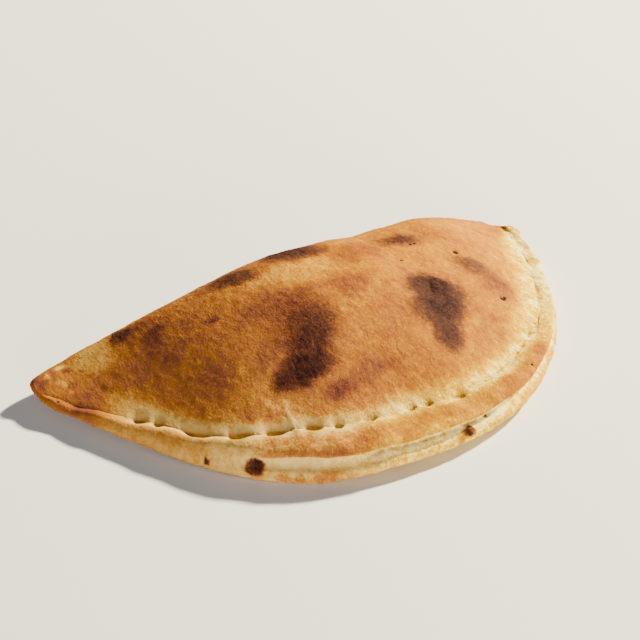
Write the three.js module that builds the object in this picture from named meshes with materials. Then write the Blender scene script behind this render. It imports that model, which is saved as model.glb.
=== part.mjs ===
// A baked calzone: one disc of dough folded over its filling and pressed shut along a rim.
//
// Millimetres, +Z up. X runs along the fold, with the pinched tip at -X and the full end at +X.
// Y runs across, with the pressed rim at -Y and the fold at +Y. The origin is the middle of the
// bounding box, on the level of the flat underside.

import * as THREE from 'three';

// ---- driving dimensions -------------------------------------------------------------------

// The widest line seen from above: from the tip round the pressed rim and back along the fold.
const OUTLINE = [
  [-0.5, -1], [-1.8, -11], [4, -29.5], [11.5, -49], [20.5, -71.5], [32, -93], [49, -113.5],
  [72, -131], [102, -137.5], [134, -137.5], [167, -128], [198, -107], [221, -83],
  [241, -51], [251.5, -25], [257.5, -2], [248, 5], [205, 5], [160, 6], [110, 6],
  [60, 6], [16, 5.5],
];

// Share of the outline's length at which the pressed rim ends and the fold begins.
const RIM_END = 0.622;

// Height of the dome's back line at each x: the tip, a long rise, a saddle and the full end.
const CREST = [
  [-5, 5], [0, 5.5], [14, 9], [30, 15.4], [55, 27], [85, 36.3], [115, 41], [145, 40.2],
  [168, 36.9], [185, 36.8], [200, 38.4], [218, 37.4], [240, 28.5], [256, 16],
];

// How far the dome takes to rise at each x, and how gently it starts from the groove:
// [x, reach from the groove, reach from the fold, gentleness].
const RISE_REACH = [
  [0, 12, 5, 0.8], [15, 30, 9, 0.8], [30, 42, 14, 0.8], [55, 58, 26, 0.88], [85, 70, 34, 1.05],
  [120, 72, 34, 1.25], [260, 72, 34, 1.25],
];

// The rim at shares of the outline's length: [share, width, height of the pressed groove, raise of
// the lip above the groove, how far the lower edge is curled up off the plate].
const RIM = [
  [0, 3, 2.4, 0.2, 0.3], [0.03, 5, 3, 0.2, 0.3], [0.05, 6, 4, 0.3, 0.7],
  [0.08, 8.4, 6.3, 0.6, 0.8], [0.1, 10.5, 7.5, 0.9, 0.8], [0.13, 10.5, 9.5, 0.9, 0.6],
  [0.16, 12.5, 12, 0.75, 0.3], [0.18, 17.5, 13, 0.6, 0], [0.206, 22, 13.8, 0.55, 0],
  [0.235, 23.5, 14, 0.55, 0.6], [0.262, 23, 14, 0.55, 1], [0.294, 22, 14, 0.5, 1],
  [0.336, 17, 14, 0.45, 1], [0.383, 13.5, 13.5, 0.35, 1], [0.44, 8.5, 13, 0.25, 1],
  [0.5, 8, 12.3, 0.1, 1], [0.56, 6.5, 12, 0.05, 0.8], [0.63, 4, 10.5, 0.05, 0.5], [1, 4, 9, 0.4, 0.5],
];

// Section of the rim from the groove outwards: [share of the width, share of the height, and both
// again where the lower edge is curled up]. The rolled lip of the upper layer overhangs a narrow
// band and a crease above the lower layer.
const ROLLED_LIP = [
  [0, 1, 0, 1], [0.1, 1.08, 0.1, 1.08], [0.24, 1.17, 0.24, 1.17], [0.44, 1.2, 0.44, 1.2],
  [0.64, 1.12, 0.64, 1.12], [0.78, 0.99, 0.78, 0.99], [0.85, 0.85, 0.85, 0.86],
  [0.77, 0.75, 0.78, 0.77], [0.79, 0.6, 0.8, 0.68], [0.86, 0.47, 0.88, 0.58],
  [0.97, 0.41, 0.97, 0.52], [1, 0.25, 1, 0.41], [0.99, 0.1, 0.93, 0.22], [0.93, 0, 0.66, 0],
];

// The same towards the tip, where both layers are pinched into one round edge.
const PINCHED_LIP = [
  [0, 1, 0, 1], [0.12, 1.03, 0.12, 1.03], [0.3, 1.08, 0.3, 1.08], [0.48, 1.04, 0.48, 1.04],
  [0.62, 0.94, 0.62, 0.96], [0.74, 0.8, 0.74, 0.86], [0.83, 0.66, 0.84, 0.74],
  [0.9, 0.52, 0.92, 0.62], [0.95, 0.4, 0.98, 0.5], [0.98, 0.28, 1, 0.4], [1, 0.18, 0.98, 0.28],
  [1, 0.1, 0.9, 0.16], [0.98, 0.04, 0.78, 0.06], [0.93, 0, 0.62, 0],
];
const PINCHED_UNTIL = 0.14; // shares of the outline between which the one turns into the other
const ROLLED_FROM = 0.19;

// Marks pressed into the groove: [distance along the rim, half length, depth].
const PRESS_MARKS = [
  [58, 4.6, 1.6], [67, 3.6, 1], [86, 9, 1.7], [107, 6.2, 2.7], [122.5, 5.8, 2.9], [140.5, 6, 3.1],
  [156.5, 5, 1.7], [176.5, 5, 1.7], [198, 4.4, 1.6], [207, 4.2, 1.5], [225, 4.8, 1.8],
];
const MARK_INNER_REACH = 7.5; // how far a mark runs up the dome
const MARK_BULGE = 4; // how far its middle pushes the lip outwards
const MARK_WALL = 4.5; // how soon the lip rises again outside it

const SEAM_BLEND = 4; // how far from the seam the dome bends to meet it exactly
const FOLD_MIDDLE = 0.42; // height of the fold's outermost line, as a share of the crest
const FOLD_UNDERCUT = 0.38; // how far the fold curls in under itself, as a share of the crest
const TIP_LIFT = 5.5; // the baked tip curls up off its plate
const TIP_LIFT_REACH = 90;
const TIP_LIFT_LEAN = 0.25; // the lifted corner reaches further along the fold than the rim

const LUMP_HEIGHT = 0.35; // gentle swellings of the filling under the dough
const RIM_WAVE = 0.5; // unevenness of the pressed lip

const COLUMNS_PER_SIDE = 84;
const DOME_ROWS = 15;
const UNDERSIDE_ROWS = 3;
const STATIONS_PER_COLUMN = 6; // points of the edge lines that the dome's height is measured from

const CRUST = { color: 0xcd8c4b, roughness: 0.72, metalness: 0 };

// ---- curves -------------------------------------------------------------------------------

const clamp01 = (t) => Math.min(1, Math.max(0, t));
const mix = (a, b, t) => a + (b - a) * t;

function smooth(from, to, t) {
  const k = clamp01((t - from) / (to - from));
  return k * k * (3 - 2 * k);
}

// A smooth curve through stations [position, value, value...] that never overshoots them:
// cubic pieces whose slope at a station is the harmonic mean of its two neighbours' slopes.
function through(stations, at, column = 1) {
  const last = stations.length - 1;
  const x = Math.min(stations[last][0], Math.max(stations[0][0], at));
  const secant = (k) => (stations[k + 1][column] - stations[k][column])
    / (stations[k + 1][0] - stations[k][0]);
  const slope = (k) => {
    const before = secant(Math.max(0, k - 1));
    const after = secant(Math.min(last - 1, k));
    return before * after <= 0 ? 0 : (2 * before * after) / (before + after);
  };
  let k = 0;
  while (k < last - 1 && x > stations[k + 1][0]) k += 1;
  const step = stations[k + 1][0] - stations[k][0];
  const t = (x - stations[k][0]) / step;
  return stations[k][column] * (1 + 2 * t) * (1 - t) ** 2
    + slope(k) * step * t * (1 - t) ** 2
    + stations[k + 1][column] * t * t * (3 - 2 * t)
    + slope(k + 1) * step * t * t * (t - 1);
}

const plan = new THREE.CatmullRomCurve3(
  OUTLINE.map(([x, y]) => new THREE.Vector3(x, y, 0)),
  true,
  'centripetal',
);
plan.arcLengthDivisions = 2000;
const PLAN_LENGTH = plan.getLength();

const planPoint = (share) => plan.getPointAt(share - Math.floor(share));

// The outward direction at a share of the outline, from a chord wide enough to pass the tip.
function planNormal(share) {
  const chord = planPoint(share + 0.012).sub(planPoint(share - 0.012));
  return new THREE.Vector3(chord.y, -chord.x, 0).normalize();
}

// ---- stations round the edge --------------------------------------------------------------

// Everything that a column of the surface needs at its share of the outline.
function edgeAt(share) {
  const outer = planPoint(share);
  const normal = planNormal(share);
  const rim = share < 0.5
    ? smooth(-0.01, 0.03, share)
    : 1 - smooth(RIM_END - 0.03, RIM_END + 0.015, share);
  const width = through(RIM, share, 1) * rim;
  const grooveHeight = through(RIM, share, 2);
  const crest = through(CREST, outer.x);
  const foldHeight = FOLD_MIDDLE * crest;
  const along = share * PLAN_LENGTH;
  return {
    normal,
    rim,
    along,
    width,
    grooveHeight,
    foldHeight,
    raised: through(RIM, share, 3),
    curled: through(RIM, share, 4),
    rolled: smooth(PINCHED_UNTIL, ROLLED_FROM, share),
    undercut: FOLD_UNDERCUT * crest,
    seam: outer.clone().addScaledVector(normal, -width),
    seamHeight: mix(foldHeight, grooveHeight, rim),
    wave: Math.sin(along / 5.3) * 0.6 + Math.sin(along / 3.1 + 1.7) * 0.4,
  };
}

const COLUMNS = 2 * COLUMNS_PER_SIDE;

// The first half of the columns stands along the rim and the second half along the fold.
function columnShare(column) {
  const side = column / COLUMNS_PER_SIDE;
  return side <= 1 ? RIM_END * side : mix(RIM_END, 1, side - 1);
}

const EDGES = Array.from({ length: COLUMNS }, (_, column) => edgeAt(columnShare(column)));

// The column across the spine from each column.
const opposite = (column) => (COLUMNS - column) % COLUMNS;

// The inner line under the dome's back, shared by the rim's columns and the fold's. It bows towards
// the rim as a half sine and its square, so that both ends point at the outline's corners.
function spinePoint(share) {
  const arch = Math.sin(Math.PI * share);
  return new THREE.Vector3(14 + 218 * share, -7.55 + 0.5 * share - 31 * arch - 23 * arch * arch, 0);
}

// ---- the upper surface --------------------------------------------------------------------

// The two edge lines that the dome rises from, as closely spaced points with the length of the
// step at each. Every column meets its line at one of them.
function edgeLine(onRim) {
  const stations = Array.from({ length: COLUMNS * STATIONS_PER_COLUMN }, (_, k) => k)
    .map((k) => edgeAt(columnShare(k / STATIONS_PER_COLUMN)))
    .filter((edge) => (edge.rim > 0.5) === onRim)
    .map(({ seam, seamHeight }) => ({ x: seam.x, y: seam.y, height: seamHeight }));
  const last = stations.length - 1;
  return stations.map((station, k) => {
    const before = stations[Math.max(0, k - 1)];
    const after = stations[Math.min(last, k + 1)];
    const gap = Math.hypot(after.x - before.x, after.y - before.y);
    return { ...station, step: k === 0 || k === last ? gap : gap / 2 };
  });
}

const RIM_LINE = edgeLine(true);
const FOLD_LINE = edgeLine(false);

// The integral of (1 + t^2)^-4 over all t, which makes the distance below exact for a straight line.
const STRAIGHT_LINE = (5 * Math.PI) / 16;

// Distance from a point to a line, smoothed so that it turns no sharp ridge where two stretches are
// equally near: the -1/7 power of the integral of 1 / distance^8 along the line. The line's height
// near the point is the mean of its stations' heights, weighted by 1 / (squared distance + 1)^2.
function nearLine(point, line) {
  let closeness = 0;
  let weights = 0;
  let sum = 0;
  for (const station of line) {
    const gap = (point.x - station.x) ** 2 + (point.y - station.y) ** 2 + 1e-6;
    const weight = 1 / (gap + 1) ** 2;
    closeness += station.step / gap ** 4;
    weights += weight;
    sum += weight * station.height;
  }
  return { distance: (closeness / STRAIGHT_LINE) ** (-1 / 7), height: sum / weights };
}

// Swellings of the filling, a few centimetres across.
function lumps(x, y) {
  return LUMP_HEIGHT * (Math.sin(x / 15 + 1.3) * Math.cos(y / 12 + 0.4)
    + 0.6 * Math.sin((x + y) / 8.5 + 2.1) * Math.cos((x - y) / 11));
}

// Height blended between the two edge lines, plus the rise to the crest: the product of a foot that
// starts gently at the groove and a round that starts steeply at the fold.
function domeHeight(point) {
  const front = nearLine(point, RIM_LINE);
  const back = nearLine(point, FOLD_LINE);
  const reach = front.distance + back.distance + 1e-9;
  const level = (front.height * back.distance + back.height * front.distance) / reach;
  const frontShare = clamp01(front.distance / through(RISE_REACH, point.x, 1));
  const backShare = clamp01(back.distance / through(RISE_REACH, point.x, 2));
  const frontRise = (1 - (1 - frontShare) ** 1.9) ** through(RISE_REACH, point.x, 3);
  const backRise = Math.sqrt(1 - (1 - backShare) ** 2.2);
  const top = through(CREST, point.x) + lumps(point.x, point.y);
  return level + (top - level) * frontRise * backRise;
}

// Depth of the marks pressed into the groove, at a distance outside it. Each is a scoop that deepens
// from the dome to a wall, rises again over the wall, and fades to its ends as the cube of a half
// ellipse. The wall bows outwards as the same half ellipse.
function pressed(edge, outside) {
  let depth = 0;
  for (const [place, halfLength, markDepth] of PRESS_MARKS) {
    const inside = Math.sqrt(clamp01(1 - ((edge.along - place) / halfLength) ** 2));
    const wall = MARK_BULGE * (inside - 1);
    const scoop = clamp01((outside + MARK_INNER_REACH) / (wall + MARK_INNER_REACH)) ** 2.4;
    const stop = 1 - smooth(wall, wall + MARK_WALL, outside);
    depth += markDepth * inside ** 3 * scoop * stop;
  }
  return edge.rim * depth;
}

// ---- one column: dome, lip, side and underside ----------------------------------------------

function domePoints(edge, spine) {
  const atSeam = domeHeight(edge.seam);
  return Array.from({ length: DOME_ROWS }, (_, row) => {
    const outward = Math.sin((Math.PI / 2) * (row / (DOME_ROWS - 1))) ** 0.9;
    const point = spine.clone().lerp(edge.seam, outward);
    const outside = -Math.hypot(point.x - edge.seam.x, point.y - edge.seam.y);
    const meet = (edge.seamHeight - atSeam) * Math.exp(-((outside / SEAM_BLEND) ** 2));
    point.z = domeHeight(point) + meet - pressed(edge, outside);
    return point;
  });
}

// The section is mixed between its pinched and rolled forms, and its flat and curled ones.
function wallPoints(edge) {
  const steps = ROLLED_LIP.length - 1;
  const shareAt = (step, k) => mix(PINCHED_LIP[step][k], ROLLED_LIP[step][k], edge.rolled);
  return Array.from({ length: steps }, (_, k) => {
    const step = k + 1;
    const outShare = mix(shareAt(step, 0), shareAt(step, 2), edge.curled);
    const fullShare = mix(shareAt(step, 1), shareAt(step, 3), edge.curled);
    const heightShare = fullShare - Math.max(0, fullShare - 1) * (1 - edge.raised);
    const turn = (Math.PI / 2) * (step / steps);
    const rimWave = RIM_WAVE * edge.wave * Math.sin(Math.PI * heightShare * 0.5);
    const rimHeight = heightShare * (edge.grooveHeight + rimWave);
    const foldOut = -edge.undercut * (1 - Math.cos(turn));
    const foldHeight = edge.foldHeight * (1 - Math.sin(turn));
    const outside = mix(foldOut, outShare * edge.width, edge.rim);
    const dent = 2 * step < steps ? pressed(edge, outside) : 0;
    const point = edge.seam.clone().addScaledVector(edge.normal, outside);
    point.z = mix(foldHeight, rimHeight, edge.rim) - dent;
    return point;
  });
}

const WALLS = EDGES.map(wallPoints);

// The keel is the line halfway between each column's foot and that of the column across from it.
// At the two ends it stands halfway to the next one.
function keelPoint(column) {
  const middle = (k) => WALLS[k].at(-1).clone().lerp(WALLS[opposite(k)].at(-1), 0.5);
  return opposite(column) === column
    ? WALLS[column].at(-1).clone().lerp(middle(column + 1), 0.5)
    : middle(column);
}

function columnPoints(column) {
  const spineShare = Math.min(column, COLUMNS - column) / COLUMNS_PER_SIDE;
  const points = [...domePoints(EDGES[column], spinePoint(spineShare)), ...WALLS[column]];
  const foot = points.at(-1);
  const keel = keelPoint(column);
  for (let row = 1; row <= UNDERSIDE_ROWS; row += 1) {
    const point = foot.clone().lerp(keel, row / UNDERSIDE_ROWS);
    point.z = 0;
    points.push(point);
  }
  return points;
}

// The baked tip is lifted by the square of the way from the lift's reach to the tip.
function liftTip(point) {
  const along = (point.x + TIP_LIFT_LEAN * Math.abs(point.y)) / TIP_LIFT_REACH;
  point.z += TIP_LIFT * clamp01(1 - along) ** 2;
}

// ---- the closed solid -----------------------------------------------------------------------

// The columns share the spine's points above and below, which closes the surface.
function calzoneGeometry() {
  const columns = EDGES.map((_, column) => columnPoints(column));
  columns.flat().forEach(liftTip);
  const lastRow = columns[0].length - 1;
  const positions = [];
  const indexOf = columns.map(() => []);
  columns.forEach((points, column) => {
    points.forEach((point, row) => {
      const onSpine = row === 0 || row === lastRow;
      if (onSpine && column > COLUMNS_PER_SIDE) {
        indexOf[column].push(indexOf[COLUMNS - column][row]);
        return;
      }
      indexOf[column].push(positions.length / 3);
      positions.push(point.x, point.y, point.z);
    });
  });

  const triangles = [];
  for (let column = 0; column < COLUMNS; column += 1) {
    const here = indexOf[column];
    const next = indexOf[(column + 1) % COLUMNS];
    for (let row = 0; row < lastRow; row += 1) {
      triangles.push(here[row], here[row + 1], next[row]);
      triangles.push(next[row], here[row + 1], next[row + 1]);
    }
  }

  const geometry = new THREE.BufferGeometry();
  geometry.setAttribute('position', new THREE.Float32BufferAttribute(positions, 3));
  geometry.setIndex(triangles);
  geometry.computeBoundingBox();
  const middle = geometry.boundingBox.getCenter(new THREE.Vector3());
  geometry.translate(-middle.x, -middle.y, -geometry.boundingBox.min.z);
  geometry.computeVertexNormals();
  return geometry;
}

const calzone = new THREE.Mesh(calzoneGeometry(), new THREE.MeshStandardMaterial(CRUST));
calzone.name = 'calzone';

const part = new THREE.Group();
part.add(calzone);

export default part;
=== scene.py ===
"""A baked calzone: browned, blistered dough folded over its filling and pressed shut along a rim.

Sizes are in millimetres and are made metres when a mesh is filled. Plan coordinates have x along
the fold from the pinched tip and y across it, negative towards the pressed rim. The frame's origin
is the middle of the plan.
"""
import math

import bpy
import numpy as np
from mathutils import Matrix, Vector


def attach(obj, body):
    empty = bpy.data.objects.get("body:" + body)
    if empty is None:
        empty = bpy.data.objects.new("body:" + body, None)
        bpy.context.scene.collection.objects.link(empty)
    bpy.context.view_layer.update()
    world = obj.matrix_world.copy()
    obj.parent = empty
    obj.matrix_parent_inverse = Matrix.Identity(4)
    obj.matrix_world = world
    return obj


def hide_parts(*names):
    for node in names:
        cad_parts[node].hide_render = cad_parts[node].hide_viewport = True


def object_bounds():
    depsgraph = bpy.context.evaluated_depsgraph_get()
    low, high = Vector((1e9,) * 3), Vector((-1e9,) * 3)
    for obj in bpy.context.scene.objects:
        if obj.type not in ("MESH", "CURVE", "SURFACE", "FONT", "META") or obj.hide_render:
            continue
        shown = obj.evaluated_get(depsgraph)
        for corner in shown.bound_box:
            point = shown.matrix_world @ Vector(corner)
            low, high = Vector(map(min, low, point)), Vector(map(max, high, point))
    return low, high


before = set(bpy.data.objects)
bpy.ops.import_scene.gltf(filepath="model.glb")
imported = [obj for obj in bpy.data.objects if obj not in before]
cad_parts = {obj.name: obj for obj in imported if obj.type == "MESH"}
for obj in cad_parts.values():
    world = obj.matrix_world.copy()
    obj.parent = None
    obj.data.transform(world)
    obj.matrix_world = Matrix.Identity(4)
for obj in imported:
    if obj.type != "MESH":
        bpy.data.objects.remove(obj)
CAD_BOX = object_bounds()

MM = 0.001

# ---- the dough's form, in the same sizes as the solid ----

# The widest line seen from above: from the tip round the pressed rim and back along the fold.
OUTLINE = (
    (-0.5, -1), (-1.8, -11), (4, -29.5), (11.5, -49), (20.5, -71.5), (32, -93), (49, -113.5),
    (72, -131), (102, -137.5), (134, -137.5), (167, -128), (198, -107), (221, -83), (241, -51),
    (251.5, -25), (257.5, -2), (248, 5), (205, 5), (160, 6), (110, 6), (60, 6), (16, 5.5),
)
RIM_END = 0.622  # share of the outline where the pressed rim ends and the fold begins
RIM_STARTS = (-0.01, 0.03)  # shares over which the fold turns into the rim
RIM_STOPS = (RIM_END - 0.03, RIM_END + 0.015)  # and back
CHORD_REACH = 0.012  # share each way over which the outline's direction is read

# Height of the dome's back line at each x.
CREST = (
    (-5, 5), (0, 5.5), (14, 9), (30, 15.4), (55, 27), (85, 36.3), (115, 41), (145, 40.2),
    (168, 36.9), (185, 36.8), (200, 38.4), (218, 37.4), (240, 28.5), (256, 16),
)

# How the dome rises at each x: (x, reach from the groove, reach from the fold, gentleness).
RISE_REACH = (
    (0, 12, 5, 0.8), (15, 30, 9, 0.8), (30, 42, 14, 0.8), (55, 58, 26, 0.88), (85, 70, 34, 1.05),
    (120, 72, 34, 1.25), (260, 72, 34, 1.25),
)

# The rim at shares of the outline: (share, width, height of the groove, raise of the lip, how far
# the lower edge is curled up off the plate).
RIM = (
    (0, 3, 2.4, 0.2, 0.3), (0.03, 5, 3, 0.2, 0.3), (0.05, 6, 4, 0.3, 0.7),
    (0.08, 8.4, 6.3, 0.6, 0.8), (0.1, 10.5, 7.5, 0.9, 0.8), (0.13, 10.5, 9.5, 0.9, 0.6),
    (0.16, 12.5, 12, 0.75, 0.3), (0.18, 17.5, 13, 0.6, 0), (0.206, 22, 13.8, 0.55, 0),
    (0.235, 23.5, 14, 0.55, 0.6), (0.262, 23, 14, 0.55, 1), (0.294, 22, 14, 0.5, 1),
    (0.336, 17, 14, 0.45, 1), (0.383, 13.5, 13.5, 0.35, 1), (0.44, 8.5, 13, 0.25, 1),
    (0.5, 8, 12.3, 0.1, 1), (0.56, 6.5, 12, 0.05, 0.8), (0.63, 4, 10.5, 0.05, 0.5),
    (1, 4, 9, 0.4, 0.5),
)

# Section of the rim from the groove outwards, in percent of its width and height: (out, up, and
# both where the lower edge is curled up, if they differ).
ROLLED_LIP = (
    (0, 100), (10, 108), (24, 117), (44, 120), (64, 112), (78, 99), (85, 85, 85, 86),
    (77, 75, 78, 77), (79, 60, 80, 68), (86, 47, 88, 58), (97, 41, 97, 52), (100, 25, 100, 41),
    (99, 10, 93, 22), (93, 0, 66, 0),
)

# The same towards the tip, where both layers are pinched into one round edge.
PINCHED_LIP = (
    (0, 100), (12, 103), (30, 108), (48, 104), (62, 94, 62, 96), (74, 80, 74, 86), (83, 66, 84, 74),
    (90, 52, 92, 62), (95, 40, 98, 50), (98, 28, 100, 40), (100, 18, 98, 28), (100, 10, 90, 16),
    (98, 4, 78, 6), (93, 0, 62, 0),
)
PINCHED_UNTIL = 0.14
ROLLED_FROM = 0.19

# Marks pressed into the groove: (distance along the rim, half length, depth).
PRESS_MARKS = (
    (58, 4.6, 1.6), (67, 3.6, 1), (86, 9, 1.7), (107, 6.2, 2.7), (122.5, 5.8, 2.9), (140.5, 6, 3.1),
    (156.5, 5, 1.7), (176.5, 5, 1.7), (198, 4.4, 1.6), (207, 4.2, 1.5), (225, 4.8, 1.8),
)
MARK_INNER_REACH = 7.5  # how far a mark runs up the dome
MARK_BULGE = 4  # how far its middle pushes the lip outwards
MARK_WALL = 4.5  # how soon the lip rises again outside it

SEAM_BLEND = 4  # how far from the seam the dome bends to meet it exactly
FOLD_MIDDLE = 0.42  # height of the fold's outermost line, as a share of the crest
FOLD_UNDERCUT = 0.38  # how far the fold curls in under itself, as a share of the crest
TIP_LIFT = 5.5
TIP_LIFT_REACH = 90
TIP_LIFT_LEAN = 0.25
LUMP_HEIGHT = 0.35
RIM_WAVE = 0.5
RIM_WAVES = ((5.3, 0, 0.6), (3.1, 1.7, 0.4))  # (mm to a radian, turn, share)
FOOT_POWER = 1.9  # how round the dome's rise is on the groove's side
BACK_POWER = 2.2  # and on the fold's side
SCOOP_POWER = 2.4  # how steeply a press mark deepens towards its wall

# The spine, the line that the surface starts from: its end at the tip, the way to its other end,
# and its bow towards the rim.
SPINE_START = (14, -7.55)
SPINE_RUN = (218, 0.5)
SPINE_BOW = (31, 23)

# ---- how finely the skin is divided ----

COLUMNS_PER_SIDE = 340
DOME_ROWS = 100
WALL_ROWS = 36
UNDERSIDE_ROWS = 8
ROW_CROWDING = 0.9  # power of the sine that spaces the dome's rows

# ---- curves ----

def smooth(start, end, t):
    """0 below start, 1 above end, and 3k^2 - 2k^3 of the way k between them."""
    k = np.clip((t - start) / (end - start), 0, 1)
    return k * k * (3 - 2 * k)


def between(rise, fall, t):
    """0 before the range rise, 1 after it, and 0 again after the range fall."""
    return smooth(*rise, t) * (1 - smooth(*fall, t))


def mix(a, b, t):
    """a at t = 0, b at t = 1, straight between."""
    return a + (b - a) * t


def cubic(start, end, out, into, t):
    """The cubic from start to end whose slopes there are out and into."""
    return (start * (1 + 2 * t) * (1 - t) ** 2 + out * t * (1 - t) ** 2
            + end * t * t * (3 - 2 * t) + into * t * t * (t - 1))


def through(stations, at, column=1):
    """Cubic pieces through the stations. A station's slope is the harmonic mean of the secants on
    its two sides, or 0 where they point opposite ways, so that the curve never overshoots."""
    table = np.asarray(stations, float)
    x, y = table[:, 0], table[:, column]
    secant = np.diff(y) / np.diff(x)
    before = np.concatenate([secant[:1], secant])
    after = np.concatenate([secant, secant[-1:]])
    total = np.where(before * after > 0, before + after, 1)
    slope = np.where(before * after > 0, 2 * before * after / total, 0)
    inside = np.clip(at, x[0], x[-1])
    k = np.clip(np.searchsorted(x, inside) - 1, 0, len(x) - 2)
    step = x[k + 1] - x[k]
    return cubic(y[k], y[k + 1], slope[k] * step, slope[k + 1] * step, (inside - x[k]) / step)


def spline(stations, at, column):
    """Cubic pieces through evenly spaced stations in percent. Each slope is half the step across
    the two neighbours."""
    y = np.array([row[column % len(row)] for row in stations]) / 100
    slope = np.gradient(y)
    place = np.clip(at, 0, 1) * (len(y) - 1)
    k = np.clip(place.astype(int), 0, len(y) - 2)
    return cubic(y[k], y[k + 1], slope[k], slope[k + 1], place - k)


def closed_curve(points, pieces=120):
    """Closed centripetal Catmull-Rom curve: each span is the cubic whose end slopes come from knots
    spaced by the square root of the distances. Returns finely spaced points and the length up to
    each."""
    p1 = np.asarray(points, float)
    p0, p2, p3 = np.roll(p1, 1, 0), np.roll(p1, -1, 0), np.roll(p1, -2, 0)
    d0, d1, d2 = (np.sqrt(np.linalg.norm(b - a, axis=1))[:, None]
                  for a, b in ((p0, p1), (p1, p2), (p2, p3)))
    m1 = ((p1 - p0) / d0 - (p2 - p0) / (d0 + d1) + (p2 - p1) / d1) * d1
    m2 = ((p2 - p1) / d1 - (p3 - p1) / (d1 + d2) + (p3 - p2) / d2) * d1
    t = np.linspace(0, 1, pieces, endpoint=False)[None, :, None]
    a, b, m, n = (v[:, None] for v in (p1, p2, m1, m2))
    spans = a + m * t + (3 * (b - a) - 2 * m - n) * t ** 2 + (2 * (a - b) + m + n) * t ** 3
    path = spans.reshape(-1, 2)
    path = np.vstack([path, path[:1]])
    length = np.concatenate([[0], np.cumsum(np.linalg.norm(np.diff(path, axis=0), axis=1))])
    return path, length


PLAN_PATH, PLAN_ARC = closed_curve(OUTLINE)
PLAN_LENGTH = PLAN_ARC[-1]


def plan_point(share):
    """The outline's point at a share of its length."""
    along = (share % 1) * PLAN_LENGTH
    return np.stack([np.interp(along, PLAN_ARC, PLAN_PATH[:, k]) for k in (0, 1)], -1)


def plan_normal(share):
    """The outward direction: square to a short chord of the outline."""
    chord = plan_point(share + CHORD_REACH) - plan_point(share - CHORD_REACH)
    normal = np.stack([chord[..., 1], -chord[..., 0]], -1)
    return normal / np.linalg.norm(normal, axis=-1, keepdims=True)


# ---- stations round the edge ----

class Edge:
    """What every column of the surface needs at its share of the outline, as arrays."""

    def __init__(self, share):
        outer = plan_point(share)
        self.along = share * PLAN_LENGTH
        self.normal = plan_normal(share)
        self.rim = np.where(share < 0.5, smooth(*RIM_STARTS, share), 1 - smooth(*RIM_STOPS, share))
        self.width = through(RIM, share, 1) * self.rim
        self.groove_height = through(RIM, share, 2)
        self.raised = through(RIM, share, 3)
        self.curled = through(RIM, share, 4)
        self.rolled = smooth(PINCHED_UNTIL, ROLLED_FROM, share)
        crest = through(CREST, outer[:, 0])
        self.fold_height = FOLD_MIDDLE * crest
        self.undercut = FOLD_UNDERCUT * crest
        self.seam = outer - self.normal * self.width[:, None]
        self.seam_height = mix(self.fold_height, self.groove_height, self.rim)
        self.wave = sum(part * np.sin(self.along / length + turn)
                        for length, turn, part in RIM_WAVES)


def column_shares():
    """The first half of the columns stands along the rim and the second half along the fold."""
    side = np.arange(2 * COLUMNS_PER_SIDE) / COLUMNS_PER_SIDE
    return np.where(side <= 1, RIM_END * side, mix(RIM_END, 1, side - 1))


def spine_points():
    """The inner line under the dome's back: x grows evenly and y bows towards the rim as a half
    sine and its square, so that both ends point at the outline's corners. A rim column and a fold
    column share each point."""
    side = np.arange(2 * COLUMNS_PER_SIDE) / COLUMNS_PER_SIDE
    share = np.where(side <= 1, side, 2 - side)
    arch = np.sin(np.pi * share)
    x, y = (start + run * share for start, run in zip(SPINE_START, SPINE_RUN))
    return np.stack([x, y - SPINE_BOW[0] * arch - SPINE_BOW[1] * arch * arch], -1)


# ---- the surface ----

STRAIGHT_LINE = math.sqrt(math.pi) * math.gamma(3.5) / math.gamma(4)  # integral of (1 + t^2)^-4


def near_line(points, seam, height):
    """Distance from each point to a line of stations, smoothed so that it turns no sharp ridge
    where two stretches are equally near: the -1/7 power of the integral of 1 / distance^8 along the
    line, which is exact for a straight one. Also the line's height near the point: the mean of the
    stations' heights, weighted by 1 / (squared distance + 1)^2."""
    step = np.linalg.norm(np.gradient(seam, axis=0), axis=-1)
    distance = np.empty(points.shape[:-1])
    level = np.empty(points.shape[:-1])
    for row in range(points.shape[1]):
        gap = ((points[:, row, None] - seam[None]) ** 2).sum(-1) + 1e-6
        distance[:, row] = ((step / gap ** 4).sum(1) / STRAIGHT_LINE) ** (-1 / 7)
        weight = 1 / (gap + 1) ** 2
        level[:, row] = (weight * height).sum(1) / weight.sum(1)
    return distance, level


def lumps(x, y):
    """Swellings of the filling: products of sines a few centimetres long."""
    return LUMP_HEIGHT * (np.sin(x / 15 + 1.3) * np.cos(y / 12 + 0.4)
                          + 0.6 * np.sin((x + y) / 8.5 + 2.1) * np.cos((x - y) / 11))


def dome_height(points, edge):
    """Height blended between the two edge lines, plus the rise to the crest: the product of a foot
    that starts gently at the groove and a round that starts steeply at the fold."""
    on_rim = edge.rim > 0.5
    front, front_level = near_line(points, edge.seam[on_rim], edge.seam_height[on_rim])
    back, back_level = near_line(points, edge.seam[~on_rim], edge.seam_height[~on_rim])
    level = (front_level * back + back_level * front) / (front + back + 1e-9)
    x, y = points[..., 0], points[..., 1]
    front_share = np.clip(front / through(RISE_REACH, x, 1), 0, 1)
    back_share = np.clip(back / through(RISE_REACH, x, 2), 0, 1)
    gentle = through(RISE_REACH, x, 3)
    foot = (1 - (1 - front_share) ** FOOT_POWER) ** gentle
    rise = foot * np.sqrt(1 - (1 - back_share) ** BACK_POWER)
    return level + (through(CREST, x) - level + lumps(x, y)) * rise


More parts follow.
